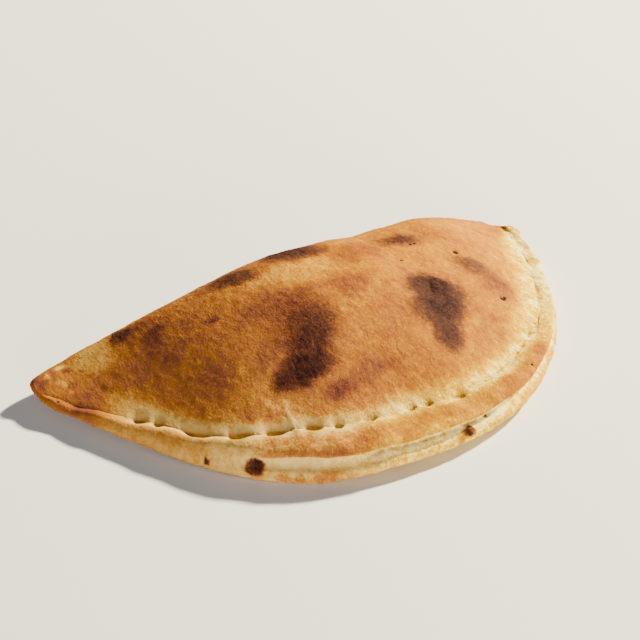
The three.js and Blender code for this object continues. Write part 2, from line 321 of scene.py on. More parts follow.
def pressed(along, outside):
    """Depth of the marks pressed into the groove. Each is a scoop that deepens from the dome as a
    power of the way to a wall, rises again over the wall, and fades to its ends as the cube of a
    half ellipse. The wall bows outwards as the same half ellipse."""
    depth = np.zeros(np.broadcast(along, outside).shape)
    for place, half_length, mark_depth in PRESS_MARKS:
        inside = np.sqrt(np.clip(1 - ((along - place) / half_length) ** 2, 0, 1))
        wall = MARK_BULGE * (inside - 1)
        reach = (outside + MARK_INNER_REACH) / (wall + MARK_INNER_REACH)
        scoop = np.clip(reach, 0, 1) ** SCOOP_POWER
        stop = 1 - smooth(wall, wall + MARK_WALL, outside)
        depth += mark_depth * inside ** 3 * scoop * stop
    return depth


def dome_part(edge):
    """The dome from the spine out to the seam, with the marks pressed into it."""
    spine = spine_points()
    outward = np.sin(np.linspace(0, np.pi / 2, DOME_ROWS)) ** ROW_CROWDING
    plan = spine[:, None] + (edge.seam - spine)[:, None] * outward[None, :, None]
    height = dome_height(plan, edge)
    outside = -np.linalg.norm(plan - edge.seam[:, None], axis=-1)
    height += (edge.seam_height - height[:, -1])[:, None] * np.exp(-(outside / SEAM_BLEND) ** 2)
    height -= edge.rim[:, None] * pressed(edge.along[:, None], outside)
    return np.dstack([plan, height])


def wall_part(edge):
    """The sides from the seam down to the foot. The rim's section is mixed from its four forms:
    pinched or rolled, flat on the plate or curled up. The fold's is a quarter of an ellipse."""
    section = np.linspace(0, 1, WALL_ROWS + 1)[1:]
    rim, curled = edge.rim[:, None], edge.curled[:, None]
    forms = [mix(spline(PINCHED_LIP, section, k), spline(ROLLED_LIP, section, k),
                 edge.rolled[:, None]) for k in range(4)]
    out_share, height_share = (mix(forms[k], forms[k + 2], curled) for k in (0, 1))
    height_share -= np.maximum(height_share - 1, 0) * (1 - edge.raised[:, None])
    rim_wave = RIM_WAVE * edge.wave[:, None] * np.sin(np.pi * height_share * 0.5)
    rim_height = height_share * (edge.groove_height[:, None] + rim_wave)
    turn = section * np.pi / 2
    fold_out = -edge.undercut[:, None] * (1 - np.cos(turn))
    out = mix(fold_out, out_share * edge.width[:, None], rim)
    dent = rim * pressed(edge.along[:, None], out) * (section < 0.5)
    height = mix(edge.fold_height[:, None] * (1 - np.sin(turn)), rim_height, rim) - dent
    return np.dstack([edge.seam[:, None] + edge.normal[:, None] * out[..., None], height])


def underside_part(foot):
    """The flat underside from the foot in to the keel, the line halfway between the feet of the
    columns that face each other."""
    inward = (np.arange(1, UNDERSIDE_ROWS + 1) / UNDERSIDE_ROWS)[None, :, None]
    keel = (foot + foot[-np.arange(2 * COLUMNS_PER_SIDE)]) / 2
    for end in (0, COLUMNS_PER_SIDE):
        keel[end] = (foot[end] + keel[end + 1]) / 2
    plan = foot[:, None] + (keel - foot)[:, None] * inward
    return np.dstack([plan, np.zeros(plan.shape[:2])])


def skin():
    """The whole surface as columns by rows: dome, sides and underside, lifted at the tip. Returns
    the points and the stations round the edge."""
    edge = Edge(column_shares())
    wall = wall_part(edge)
    points = np.concatenate([dome_part(edge), wall, underside_part(wall[:, -1, :2])], axis=1)
    from_tip = (points[..., 0] + TIP_LIFT_LEAN * np.abs(points[..., 1])) / TIP_LIFT_REACH
    points[..., 2] += TIP_LIFT * np.clip(1 - from_tip, 0, 1) ** 2
    return points, edge


# ---- noise ----

def hashed(cell, table):
    """One of 256 numbers for each whole-numbered cell: the table is read three times, each time
    moved on by the next coordinate."""
    first = table[cell[..., 0] & 255]
    second = table[(first + cell[..., 1]) & 255]
    return table[(second + cell[..., 2]) & 255]


def soft_noise(place, size, seed):
    """Gradient noise from about -1 to 1. Each corner of the cell that holds a point adds its hashed
    slope times the way from it, weighted by 6t^5 - 15t^4 + 10t^3 along each side."""
    rng = np.random.default_rng(seed)
    table = rng.permutation(256)
    slopes = rng.normal(size=(256, 3))
    slopes /= np.linalg.norm(slopes, axis=1, keepdims=True)
    scaled = place / size
    cell = np.floor(scaled).astype(int)
    t = scaled - cell
    fade = t ** 3 * (t * (6 * t - 15) + 10)
    total = np.zeros(place.shape[:-1])
    for corner in np.ndindex(2, 2, 2):
        slope = slopes[hashed(cell + corner, table)]
        weight = np.where(corner, fade, 1 - fade).prod(-1)
        total += weight * ((t - corner) * slope).sum(-1)
    return total * 1.6


def layered(place, layers, seed, kind=soft_noise):
    """Noises of several (size, height), with seeds that count up, added together."""
    return sum(height * kind(place, size, seed + number)
               for number, (size, height) in enumerate(layers))


def blisters(place, size, seed):
    """Round swellings from 0 to 1. Each cell holds one at a hashed place, with a hashed radius and
    height, which rises as the 1.5th power of 1 - (distance / radius)^2. The highest one counts."""
    rng = np.random.default_rng(seed)
    table = rng.permutation(256)
    centre = rng.uniform(0.2, 0.8, (256, 3))
    radius = rng.uniform(0.3, 0.75, 256)
    height = rng.uniform(0.1, 1, 256) ** 2
    scaled = place / size
    cell = np.floor(scaled).astype(int)
    highest = np.zeros(place.shape[:-1])
    for step in np.ndindex(3, 3, 3):
        near = cell + np.array(step) - 1
        pick = hashed(near, table)
        gap = ((scaled - near - centre[pick]) ** 2).sum(-1)
        round_top = np.clip(1 - gap / radius[pick] ** 2, 0, 1) ** 1.5
        highest = np.maximum(highest, height[pick] * round_top)
    return highest


# ---- baked marks ----

# How brown the dome is: patches that add to an even toast, as (x, y, half length, half width,
# change in percent, turn in degrees). Toast runs from 0, raw cream, to 1, dark brown.
DOME_TOAST = 0.5
TOAST_PATCHES = (
    (48, -42, 44, 36, 12, -20), (36, -24, 20, 14, 3, 25), (72, -52, 24, 26, 2),
    (44, -78, 24, 13, 2, -50), (50, -22, 9, 6, 12, 10), (51, -36, 9, 6, 10, 10),
    (71, -32, 4, 3, 22), (56, -60, 10, 8, 8), (64, -26, 8, 5, 8), (97, -46, 20, 15, 20, -20),
    (82, -68, 14, 12, 10, 30), (84, -88, 16, 8, 12, 10), (118, -33, 24, 13, -13),
    (130, -53, 11, 7, 20, 15), (125, -88, 32, 20, 5, 10), (92, -98, 8, 4.5, 26, -10),
    (104, -101, 8, 4, 10, -10), (112, -80, 12, 8, -3), (110, -95, 12, 6, 18, 10),
    (120, -98, 8, 5, 10), (135, -72, 9, 7, 6), (70, -92, 7, 9, -5), (58, -91, 10, 8, 7),
    (150, -30, 16, 10, 16), (183, -40, 22, 12, -6), (202, -86, 26, 14, -14, 42),
    (224, -48, 36, 15, -10, 62), (224, -16, 26, 12, -5), (232, -16, 7, 4, 18),
    (75, -9, 36, 8, 8, 3), (183, -86, 4, 3, 14), (203, -72, 7, 5, 10, 40), (2, -4, 4.5, 5, 26),
    (5.7, -3.3, 2.2, 1.9, -30), (9.7, -4.6, 1.5, 4.5, 24), (11, -11, 2, 6, -16, 20),
    (14.4, -1.7, 2.6, 2.2, -42), (16.8, -6, 1.8, 2.4, 34), (11, -26, 5, 8, 24, -62),
    (8, -20, 4, 6, 14, -60), (10.2, -17, 1.4, 1.2, -24), (27, -9, 12, 13, -19, -20),
    (24, -38, 14, 6, -16, -60), (18, -30, 3, 6, 16, -40), (20, -15, 2, 1.6, 20),
    (21, -20, 2, 1.6, 20), (19, -10, 1.4, 1.2, 18), (12, -18, 14, 16, 4),
)

# How charred it is, and how grey-violet, which is partly bloom and partly painted sheen: (x, y,
# half length, half width, char and bloom in percent, turn).
CHAR_PATCHES = (
    (82.5, -82.5, 13, 8.5, 120, 10), (82, -84, 8, 5, 80, 0), (93, -76, 15, 10, 80, 20, 42),
    (103, -67, 12.5, 12, 80, 40, -35), (101, -54, 14, 9.5, 40, 10, 10),
    (88, -64, 12, 10, 20, 0, 30), (95, -84, 8, 6, 30, 30), (165, -67, 14, 14, 150, 85),
    (167, -63, 8, 6, 90, 20, 40), (152, -77, 10, 9, 80, 90), (163, -78, 9, 8, 90, 90),
    (155, -89, 15, 8, 120, 80, 57), (200, -55, 15, 10, 44, 100, -60),
    (194, -49, 14, 8, 26, 100, -30), (200, -68, 9, 8, 22, 100), (125, -15, 17, 11, 130, 70, -6),
    (124, -9, 14, 8, 50, 60), (94, -15.5, 13, 8.5, 90, 70, -20), (130, -3, 13, 7, 80, 60),
    (176, -26, 15, 7, 60, 90, -10), (176, -26, 7, 3, 50, 50, -10), (43, -6, 7, 5.5, 90, 50, 12),
    (50, -8, 7, 6, 35, 50, -20), (50.5, -19.5, 6, 5, 40, 30, 20), (71, -32.5, 3, 2, 50, 0),
    (92, -99, 8, 5, 30, 0, -10), (13.1, -14.3, 2.6, 2, 50, 100, 20), (60, -4, 8, 5, 20, 50),
    (150, 3, 12, 6, 40, 60), (215, 2, 9, 5, 45, 60), (78, 2, 9, 5, 35, 60), (2, -4, 3, 4, 20, 0),
)
CHAR_GAIN = 1.1  # overlapping char adds up to 1 at most, as 1 - exp(-gain * sum)

# How far the dome stays pale in from the seam: (share, fully pale until, toasted from).
PALE_REACH = (
    (0, 0, 3), (0.05, 1, 8), (0.08, 4, 14), (0.12, 3, 12), (0.18, 1, 8), (0.25, 0, 8), (0.3, 1, 11),
    (0.36, 2, 12), (0.42, 2, 13), (0.5, 1, 14), (0.58, 0, 12), (0.63, 0, 6), (1, 0, 3),
)

# Toast of the rim in percent: (distance along it, rise of the lip, its crown, its edge, the band
# under it, the lower layer). The rows from 14 to 46 mm are darker partly as painted shade on the
# lip near the tip.
RIM_TOAST = (
    (0, 62, 64, 60, 60, 55), (14, 60, 60, 56, 50, 50), (24, 60, 62, 56, 46, 48),
    (38, 54, 58, 54, 44, 46), (46, 40, 44, 42, 36, 42), (58, 26, 34, 38, 40, 44),
    (68, 22, 36, 44, 42, 44), (82, 20, 36, 42, 38, 40), (94, 20, 34, 38, 34, 36),
    (102, 16, 26, 30, 28, 32), (112, 15, 26, 30, 20, 28), (122, 14, 40, 48, 10, 24),
    (136, 12, 42, 54, 10, 32), (150, 12, 40, 54, 8, 28), (175, 12, 42, 30, 2, 20),
    (200, 12, 42, 26, 0, 16), (230, 12, 42, 36, 0, 16), (256, 10, 40, 54, 10, 24),
    (276, 12, 42, 52, 14, 28), (288, 12, 30, 38, 14, 28), (300, 12, 18, 22, 10, 26),
    (330, 12, 10, 12, 10, 24), (345, 10, 8, 12, 10, 24), (370, 6, 4, 8, 10, 24),
    (400, 6, 10, 16, 20, 30), (425, 40, 44, 46, 48, 50), (700, 50, 52, 50, 50, 50),
)
RIM_TOAST_AT = (1, 3.4, 5.6, 8, 11.2)  # the stations of those five

# How raw and grey the pale dough is at distances along the rim: partly unbaked dough, partly a
# painted shade tint on the front of the rim, which lies in shade.
RAWNESS_AND_SHADE = ((0, 0.5), (40, 0.8), (60, 1), (140, 1), (165, 0.5), (185, 0), (700, 0))

FOLD_TOAST = 0.55
UNDER_TOAST = 0.4
UNDER_UNEVEN = 0.12
UNDER_BLOOM = 0.5
# a painted shade tint on the dome towards the tip, which lies in shade
DOME_SHADE_TINT = 0.8
UNDER_RAW = 0.7

# Burns on the rim: (distance along it, station, half length, half height, char).
RIM_BURNS = (
    (117.2, 8.8, 4.4, 3.4, 1.1), (118.6, 8.4, 2.6, 2.4, 0.8), (96.9, 8.4, 1.1, 1.7, 1),
    (96.5, 7.2, 0.6, 1.1, 0.7), (214.5, 9.6, 2.6, 1.9, 0.7), (213.3, 9.9, 1.3, 0.9, 0.6),
    (211.6, 9.3, 1.5, 0.8, 0.9), (226, 7.9, 1.3, 0.7, 1),
)

# Pinholes with charred rims: (x, y, radius, depth).
PINHOLES = (
    (195.9, -41.1, 2, 0.7), (164.5, -42.5, 1.2, 0.4), (196.9, -73.6, 2.1, 0.7),
    (198.9, -73.2, 1.3, 0.4), (177.5, -31.5, 1.1, 0.4), (179.8, -31.2, 0.9, 0.3),
    (3.1, -19.6, 0.9, 0.3), (179.5, -117.6, 1, 0.4),
)

# Drawn ridges and streaks: (x and y of the two ends, half width, rise, change of toast).
STROKES = (
    (68.6, -94, 67.3, -100.5, 1.1, 0.4, -0.3), (67.7, -97, 65.6, -107, 1.4, 0.5, -0.34),
    (66.4, -103, 63.6, -112.5, 1.6, 0.4, -0.3), (64, -101, 61.5, -112, 2.4, 0.1, 0.16),
    (66, -83, 61, -97, 1.4, 0.15, -0.12), (72, -84, 68, -96, 1.2, 0.12, -0.1),
    (59, -80, 55, -92, 1.4, 0.12, -0.08), (161, -69, 167, -60, 1.3, -0.7, 0),
    (160, -61, 165, -66, 1, -0.4, 0),
)

# Browner or paler spots on the rim: (distance along it, station, half length in mm, half height in
# stations, change in percent).
RIM_SPOTS = (
    (78, 3.4, 13, 2.6, 3), (69, 6.5, 8, 2, -8), (281.8, 3.8, 7, 2.4, 22), (248.5, 3.6, 8, 1.8, 16),
    (240, 5.6, 8, 1.4, 14), (165.6, 4.6, 7, 1.6, 16), (153, 5.2, 6, 1.4, 10),
    (186.7, 5, 8, 1.4, 10), (130, 11, 3.6, 1.6, 16), (137, 11.4, 4, 1.4, 12),
    (148, 10.8, 7, 1.8, 26), (157, 11.6, 5, 1.2, 10), (253.4, 9.6, 7, 1.6, 10),
    (209.5, 10.4, 4, 1.4, 30), (120, 9, 8, 4, 8), (14.8, 0.6, 5, 3, -10), (33.4, 2, 9, 4, 20),
    (30, 8, 20, 3, 14), (268, 2, 6, 1.6, -10), (300, 4, 9, 3, 6),
)

LAST_STATION = 13  # the rim's section counts from 0 at the groove to 13 at the foot

# A mark is full up to the first share of its half sizes and gone from the second on.
TOAST_FADE = (0.35, 1.25)
CHAR_FADE = (0.3, 1.3)
SPOT_FADE = (0.3, 1.2)
BURN_FADE = (0.7, 1.2)
HOLE_FADE = (0.4, 1.2)

# How far the edges of marks stray: noise of (size, distance), or shares of the half sizes.
WANDER = ((13, 3), (4.5, 1.1))
PALE_WANDER = ((9, 1.5), (3.5, 0.8))
PALE_WANDER_FROM = 4  # in from the seam
SPOT_STRAY = 0.3
BURN_STRAY = 0.14

STROKE_TINT_WIDTH = 1.3  # of a tint, as a share of its ridge
# Near the seam the rawness is partly a painted shade tint, towards the tip all painted shade tint.
RAW_AND_SHADE_SEAM_REACH = (8, 22)  # how far in from the seam rawness fades
SHADE_TINT_TIP_REACH = (70, 150)  # and how far along the dome from the tip
LEAST_CHAR = 0.02  # the least that the bloom is divided by
BURNS_FROM_STATION = 4.5
SPECKLE_RANGE = (0.22, 0.6)  # noise over which the underside's specks set in
SPECKLE_CHAR = 0.6

# Relief in mm, where noise and blisters are given as (size, height).
SWELLS = ((11, 0.14), (5, 0.06), (2.4, 0.05))
BLISTERS = ((5.5, 0.16), (2.8, 0.14))
PALE_BLISTERS = 0.35  # share of their height on pale dough
CRUSTY_TOAST = (0.25, 0.5)
WRINKLE_SIZE = 2.6
WRINKLE_STRETCH = (1, 0.45, 0.6)
WRINKLE_HEIGHT = 0.09
BURNT_CHAR = (0.3, 0.8)  # char over which the crust rises and crackles
CHAR_RISE = 0.35
CRACKLE_HEIGHT = 0.25
CRATER_DEPTH = 0.2
UNDER_HOLLOWS = ((8, 0.25), (2.5, 0.12))
STANDING_CLEAR = (0.1, 1.6)  # heights over which the sides' relief sets in

# The lumpy far end of the rim: where along it the lumps start and stop.
FAR_END = ((320, 350), (416, 440))
FAR_END_INNER = (-6, 0)  # and how far up the dome they fade in
FAR_END_LUMPS = ((9, 1.3), (4, 0.7))

# Stations over which the rolled lip and the pale band under it start and stop.
LIP = ((0, 2), (11, LAST_STATION))
BAND = ((5, 6.5), (11, 12.5))
LIP_UNEVEN = 0.35
LIP_STRETCH = (1, 1, 0.6)
FLUTE_WIDTH = 1.7
FLUTE_HEIGHT = 9
BAND_FLUTES = 0.16
LIP_FLUTES = 0.1

# The split between the two layers: where along the rim it starts and stops.
SPLIT = ((163, 172), (226, 236))
SPLIT_STATION = 7.9
SPLIT_STRAY = 0.3
SPLIT_WIDTH = 0.8
SPLIT_DEPTH = 0.9
SPLIT_BREAKS = (-0.5, 0.3)  # noise over which it is whole again
LEAST_SPLIT = (0.4, 0.3)  # shares of its depth and shade where it is broken

STREAK_RISE = -0.5  # strokes deeper than this are shaded
STREAK_SHADE = 0.5
HOLES_TO_STATION = 7
MARKS_TO_STATION = 4
MARK_SHADE = 0.35
MARK_SHADE_DEPTH = 2.4

# Pricks along the far end of the seam, drawn from ranges of (step along it, distance in from it,
# size, depth).
PRICKS = (230, 306)
PRICK_RANGES = ((2.2, 4), (0.4, 2.2), (0.5, 1), (0.3, 1))
PRICK_HALF_LENGTH = 1.7
PRICK_HALF_WIDTH = 1.1
PRICK_DEPTH = 0.8


def spot(x, y, length, width, fade, degrees=0, stray=0):
    """1 in the middle of a turned ellipse and 0 outside, falling smoothly over a range of shares of
    its half sizes, with its edge moved by a stray."""
    c, s = math.cos(math.radians(degrees)), math.sin(math.radians(degrees))
    away = np.hypot((x * c + y * s) / length, (y * c - x * s) / width)
    return 1 - smooth(*fade, away + stray)


def stroke(x, y, ends, half_width):
    """1 on a line between two points and 0 beyond its half width, falling smoothly, and tapering
    towards both ends as a parabola."""
    x0, y0, x1, y1 = ends
    length = math.hypot(x1 - x0, y1 - y0)
    dx, dy = (x1 - x0) / length, (y1 - y0) / length
    run = ((x - x0) * dx + (y - y0) * dy) / length
    across = np.abs((y - y0) * dx - (x - x0) * dy)
    taper = np.clip(4 * run * (1 - run), 0, 1) ** 0.5
    return taper * (1 - smooth(0, half_width, across))


class Baked:
    """The marks of baking at every point of the skin: toast, char, bloom, shade, rawness and
    relief. The shade is painted shade in pits and creases; the bloom holds painted sheen and the
    rawness a painted shade tint.
    """

    def __init__(self, points, edge):
        x, y = points[..., 0], points[..., 1]
        rows = np.arange(points.shape[1])
        seam_row = DOME_ROWS - 1
        into_wall = (rows - seam_row) / WALL_ROWS * LAST_STATION
        self.station = np.clip(into_wall, 0, LAST_STATION) + 0 * x
        self.dome = (rows < DOME_ROWS) + 0 * x
        self.under = smooth(0, 2, rows - (seam_row + WALL_ROWS - 1)) + 0 * x
        self.rim = edge.rim[:, None] + 0 * x
        self.along = edge.along[:, None] + 0 * x
        self.inward = np.linalg.norm(points[..., :2] - edge.seam[:, None], axis=-1) * self.dome
        self.calm_x, self.calm_y = x, y
        self.x, self.y = x + 0, y + 0
        for number, (size, distance) in enumerate(WANDER):
            self.x += distance * soft_noise(points, size, 2 * number + 1)
            self.y += distance * soft_noise(points, size, 2 * number + 2)
        self.points = points
        self.lift = 0 * x
        self.shade = 0 * x
        self.paint_toast()
        self.paint_raw_and_shade()
        self.paint_char()
        self.raise_dough()
        self.raise_rim()
        self.raise_marks()
        self.settle_relief()

    def rim_toast(self):
        """The table's columns, smooth along the rim and from each to the next across the section,
        plus the spots."""
        toast, *others = (through(RIM_TOAST, self.along, k + 1) / 100
                          for k in range(len(RIM_TOAST_AT)))
        for start, end, other in zip(RIM_TOAST_AT, RIM_TOAST_AT[1:], others):
            toast = mix(toast, other, smooth(start, end, self.station))
        stray = SPOT_STRAY * soft_noise(self.points, 5, 12)
        for place, station, length, height, change in RIM_SPOTS:
            patch = spot(self.along - place, self.station - station, length, height, SPOT_FADE,
                         stray=stray)
            toast += change / 100 * patch
        return np.maximum(toast, 0)

    def paint_toast(self):
        """The dome's even toast plus its patches, turned pale near the seam, and the rim's own."""
        toast = DOME_TOAST + 0 * self.x
        for px, py, length, width, change, *turn in TOAST_PATCHES:
            patch = spot(self.x - px, self.y - py, length, width, TOAST_FADE, *turn)
            toast += change / 100 * patch
        for *ends, half_width, rise, change in STROKES:
            line = stroke(self.calm_x, self.calm_y, ends, STROKE_TINT_WIDTH * half_width)
            toast += change * line
        pale_range = (through(PALE_REACH, self.along / PLAN_LENGTH, k) for k in (1, 2))
        uneven = layered(self.points, PALE_WANDER, 5)
        reach = self.inward + uneven * smooth(0, PALE_WANDER_FROM, self.inward)
        rim_toast = self.rim_toast()
        dome = mix(rim_toast, toast, smooth(*pale_range, reach))
        fold = mix(toast, FOLD_TOAST, smooth(0, LAST_STATION, self.station))
        wall = mix(fold, rim_toast, self.rim)
        upper = np.where(self.dome > 0, mix(toast, dome, self.rim), wall)
        under = UNDER_TOAST + UNDER_UNEVEN * soft_noise(self.points, 16, 7)
        self.toast = mix(upper, under, self.under)

    def paint_raw_and_shade(self):
        """Greyness of the dough: near the seam partly unbaked and partly a painted shade tint,
        towards the tip all painted shade tint, underneath pale and floury.
        """
        near_seam = 1 - smooth(*RAW_AND_SHADE_SEAM_REACH, self.inward)
        near_tip = 1 - smooth(*SHADE_TINT_TIP_REACH, self.calm_x)
        raw_and_shade = self.rim * through(RAWNESS_AND_SHADE, self.along) * near_seam
        raw_and_shade = np.maximum(raw_and_shade, DOME_SHADE_TINT * self.dome * near_tip)
        self.raw_and_shade = np.maximum(raw_and_shade, UNDER_RAW * self.under)

    def paint_char(self):
        """The sum of the char patches and the rim's burns, and the grey-violet share weighted by
        the char: partly bloomed char, partly painted sheen.
        """
        char = 0 * self.x
        bloom_and_sheen = 0 * self.x
        for px, py, length, width, depth, greyed, *turn in CHAR_PATCHES:
            patch = spot(self.x - px, self.y - py, length, width, CHAR_FADE, *turn)
            patch *= depth / 100 * (1 - self.under)
            char += patch
            bloom_and_sheen += patch * greyed / 100
        self.bloom_and_sheen = mix(bloom_and_sheen / np.maximum(char, LEAST_CHAR), UNDER_BLOOM, self.under)
        stray = BURN_STRAY * soft_noise(self.points, 2.6, 8)
        outer_rim = (self.station > BURNS_FROM_STATION) * (self.rim > 0.5)
        for place, station, length, height, depth in RIM_BURNS:
            row = int(round(DOME_ROWS - 1 + station / LAST_STATION * WALL_ROWS))
            column = np.abs(self.along[:, 0] - place).argmin()
            rise = self.points[..., 2] - self.points[column, row, 2]
            burn = spot(self.along - place, rise, length, height, BURN_FADE, stray=stray)
            char += depth * burn * outer_rim
        speckle = smooth(*SPECKLE_RANGE, soft_noise(self.points, 11, 9)) * self.under
        self.char = 1 - np.exp(-CHAR_GAIN * (char + SPECKLE_CHAR * speckle))

    def raise_dough(self):
        """Swells all over, wrinkles and blisters where the crust is browned, and crackled char."""
        place = self.points
        crusty = smooth(*CRUSTY_TOAST, self.toast)
        self.lift += layered(place, SWELLS, 20)
        wrinkle = soft_noise(place * WRINKLE_STRETCH, WRINKLE_SIZE, 35)
        self.lift += WRINKLE_HEIGHT * crusty * self.dome * wrinkle
        self.lift += layered(place, BLISTERS, 23, blisters) * mix(PALE_BLISTERS, 1, crusty)
        crackle = CRACKLE_HEIGHT * soft_noise(place, 1.5, 25)
        craters = CRATER_DEPTH * blisters(place, 3.2, 26)
        self.lift += smooth(*BURNT_CHAR, self.char) * (CHAR_RISE + crackle - craters)

    def raise_rim(self):
        """The lumpy far end, the uneven lip, the fluted band and the broken split along it, with
        painted shade in the split.
        """
        place, station = self.points, self.station
        far_end = between(*FAR_END, self.along) * smooth(*FAR_END_INNER, station - self.inward)
        self.lift += far_end * layered(place, FAR_END_LUMPS, 33)
        lip = self.rim * between(*LIP, station)
        self.lift += LIP_UNEVEN * lip * soft_noise(place * LIP_STRETCH, 7, 27)
        band = self.rim * between(*BAND, station)
        along_and_up = [self.along / FLUTE_WIDTH, place[..., 2] / FLUTE_HEIGHT, 0 * station]
        flutes = soft_noise(np.dstack(along_and_up), 1, 28)
        self.lift += (BAND_FLUTES * band + LIP_FLUTES * lip) * flutes
        plan = place * (1, 1, 0)
        whole = smooth(*SPLIT_BREAKS, soft_noise(plan, 3, 29))
        off_line = np.abs(station - SPLIT_STATION + SPLIT_STRAY * soft_noise(plan, 9, 30))
        split = band * between(*SPLIT, self.along) * (1 - smooth(0, SPLIT_WIDTH, off_line))
        least_depth, least_shade = LEAST_SPLIT
        self.lift -= SPLIT_DEPTH * split * mix(least_depth, 1, whole)
        self.shade += split * mix(least_shade, 1, whole)

    def raise_marks(self):
        """Drawn ridges and streaks, pinholes, pricks along the seam, and painted shade in press
        marks, pricks and the deepest streaks.
        """
        for *ends, half_width, rise, change in STROKES:
            line = stroke(self.calm_x, self.calm_y, ends, half_width)
            self.lift += rise * line
            self.shade += STREAK_SHADE * line * (rise < STREAK_RISE)
        for px, py, radius, depth in PINHOLES:
            hole = spot(self.calm_x - px, self.calm_y - py, radius, radius, HOLE_FADE)
            self.lift -= depth * hole * (self.station < HOLES_TO_STATION)
        pricks = self.seam_pricks()
        self.shade += pricks
        self.lift -= PRICK_DEPTH * pricks
        outside = np.where(self.dome > 0, -self.inward, 0)
        dent = self.rim * pressed(self.along, outside) * (self.station < MARKS_TO_STATION)
        self.shade += MARK_SHADE * np.clip(dent / MARK_SHADE_DEPTH, 0, 1) ** 2

    def settle_relief(self):
        """The relief fades out where the sides meet the plate, and the underside has hollows."""
        self.shade = np.clip(self.shade, 0, 1)
        standing = smooth(*STANDING_CLEAR, self.points[..., 2])
        upper = self.lift * mix(standing, 1, self.dome)
        hollows = layered(self.points, UNDER_HOLLOWS, 31, lambda *at: np.abs(soft_noise(*at)))
        self.lift = np.where(self.under > 0.5, -hollows, upper)

    def seam_pricks(self):
        """Small pricks a few millimetres apart along the far end of the seam."""
        rng = np.random.default_rng(40)
        total = 0 * self.x
        distance, last = PRICKS
        while distance < last:
            step, inset, size, depth = (rng.uniform(*span) for span in PRICK_RANGES)
            distance += step
            prick = depth * spot(self.along - distance, self.inward - inset,
                                 PRICK_HALF_LENGTH * size, PRICK_HALF_WIDTH * size, SPOT_FADE)
            total = np.maximum(total, prick)
        return total * self.dome * self.rim


def skin_normals(points):
    """Outward unit normals: the cross product of the steps between neighbouring points."""
    across = np.roll(points, -1, 0) - np.roll(points, 1, 0)
    down = np.gradient(points, axis=1)
    normal = np.cross(down, across)
    return normal / (np.linalg.norm(normal, axis=-1, keepdims=True) + 1e-9)


def share_ends(grid):
    """Gives the ends of the fold's columns what the rim's columns across from them have."""
    columns, rows = grid.shape[:2]
    fold = np.arange(COLUMNS_PER_SIDE + 1, columns)
    for row in (0, rows - 1):
        grid[fold, row] = grid[columns - fold, row]


def with_relief(points, baked):
    """The skin moved along its normals by the relief, or lifted by it off the plate's level."""
    moved = points + skin_normals(points) * baked.lift[..., None]
    on_plate = (baked.under > 0) & (points[..., 2] < 0.01)
    moved[..., 2] = np.where(on_plate, np.abs(baked.lift), moved[..., 2])
    share_ends(moved)
    return moved


# ---- the mesh ----

def placed(name, data):
    """A new object in the scene."""
    thing = bpy.data.objects.new(name, data)
    bpy.context.collection.objects.link(thing)
    return thing


def skin_mesh(points):
    """Quads between neighbouring columns and rows, wound to face outwards. Also which of the
    grid's points they use, as shared ones count once."""
    index = np.arange(points[..., 0].size).reshape(points.shape[:2])
    share_ends(index)
    used, index = np.unique(index, return_inverse=True)
    here = index.reshape(points.shape[:2])
    beside = np.roll(here, -1, axis=0)
    quads = np.stack([here[:, :-1], here[:, 1:], beside[:, 1:], beside[:, :-1]], -1).reshape(-1, 4)
    mesh = bpy.data.meshes.new("calzone_crust")
    mesh.from_pydata(points.reshape(-1, 3)[used], [], quads.tolist())
    mesh.polygons.foreach_set("use_smooth", np.ones(len(quads), bool))
    mesh.update()
    return mesh, used


# shade is painted shade; bloom carries painted sheen, the rawness a painted shade tint
MARKS = ("toast", "char", "bloom_and_sheen", "shade", "raw_and_shade")


def add_marks(mesh, used, baked):
    """Writes the marks of baking, with the painted shade, sheen and tint among them, on the
    mesh's points for the material to read.
    """
    for name in MARKS:
        values = getattr(baked, name).reshape(-1)[used]
        mark = mesh.attributes.new(name, "FLOAT", "POINT")
        mark.data.foreach_set("value", values.astype(np.float32))


points, edge = skin()
middle = (points.max((0, 1)) + points.min((0, 1))) / 2
middle[2] = 0
baked = Baked(points, edge)
raised = with_relief(points, baked) - middle
raised = np.clip(raised, *(np.array(corner) / MM for corner in CAD_BOX))
mesh, used = skin_mesh(raised * MM)
add_marks(mesh, used, baked)
crust = placed("calzone_crust", mesh)

# ---- the crust's material ----

# Base colours of the dough from raw cream to dark brown: (toast, red, green, blue).
TOAST_COLOURS = (
    (0, 0.92, 0.77, 0.33), (0.06, 0.85, 0.64, 0.17), (0.11, 0.77, 0.53, 0.06),
    (0.17, 0.65, 0.37, 0.012), (0.3, 0.5, 0.23, 0.004), (0.45, 0.37, 0.138, 0.006),
    (0.6, 0.27, 0.086, 0.012), (0.75, 0.19, 0.055, 0.017), (0.9, 0.115, 0.03, 0.014),
    (1, 0.07, 0.018, 0.011),
)
BROWN_CHAR = (0.055, 0.0145, 0.0095, 1)
# grey-violet char: partly bloom, partly painted sheen
BLOOM_AND_SHEEN_CHAR = (0.052, 0.022, 0.018, 1)
DEEP_CHAR = (0.012, 0.0055, 0.0055, 1)
# painted shade multiplied into the floors of pits, pricks, the split and deep streaks
PIT_SHADE = (0.26, 0.2, 0.12, 1)
# greyer cream for pale dough: unbaked dough, and a painted shade tint where it lies in shade
RAW_AND_SHADED_DOUGH = (0.54, 0.37, 0.13, 1)
SOOT = (0.012, 0.008, 0.007, 1)
# faint blue added with the rawness: floury grey underneath, painted shade tint on the shaded side
DUST_AND_SHADE_TINT = (0, 0.004, 0.011, 1)
# pale specks: partly flour, partly painted glints
FLOUR_AND_GLINT = (0.7, 0.44, 0.09, 1)
FLECK = (0.13, 0.07, 0.05, 1)

